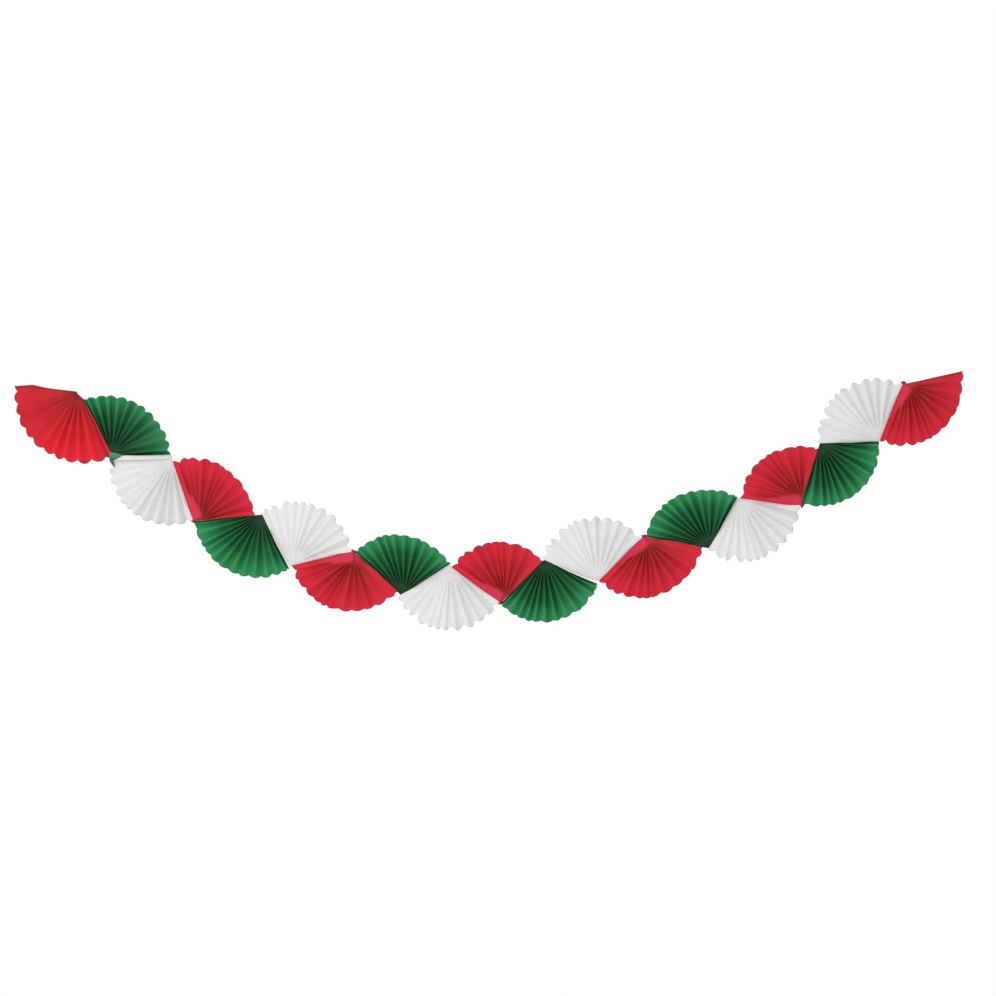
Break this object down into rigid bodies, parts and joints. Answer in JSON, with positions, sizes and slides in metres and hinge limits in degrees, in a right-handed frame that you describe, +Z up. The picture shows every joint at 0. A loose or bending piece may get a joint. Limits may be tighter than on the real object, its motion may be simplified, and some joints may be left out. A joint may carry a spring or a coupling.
{
  "type": "paper fan garland",
  "caption": "Hanging garland of pleated tissue paper fans with scalloped rims, glued leaf to leaf in a zigzag of red, green and white, hung in a swag by its two end leaves.",
  "frame": {"origin": "on the flat outside of the first fan's free end leaf, halfway along it, where the garland is hung", "axes": "+X along the garland from the first fan to the last, +Y from front to back, +Z up as it hangs"},
  "size_m": [2.2206, 0.018, 0.6053],
  "materials": {
    "red_tissue": "matt tissue paper, dyed through",
    "green_tissue": "matt tissue paper, dyed through",
    "white_tissue": "matt white tissue paper"
  },
  "bodies": {
    "root": {"fan_01_red": "red_tissue", "fan_02_green": "green_tissue", "fan_03_white": "white_tissue", "fan_04_red": "red_tissue", "fan_05_green": "green_tissue", "fan_06_white": "white_tissue", "fan_07_red": "red_tissue", "fan_08_green": "green_tissue", "fan_09_white": "white_tissue", "fan_10_red": "red_tissue", "fan_11_green": "green_tissue", "fan_12_white": "white_tissue", "fan_13_red": "red_tissue", "fan_14_green": "green_tissue", "fan_15_white": "white_tissue", "fan_16_red": "red_tissue", "fan_17_green": "green_tissue", "fan_18_white": "white_tissue", "fan_19_red": "red_tissue"}
  },
  "joints": []
}
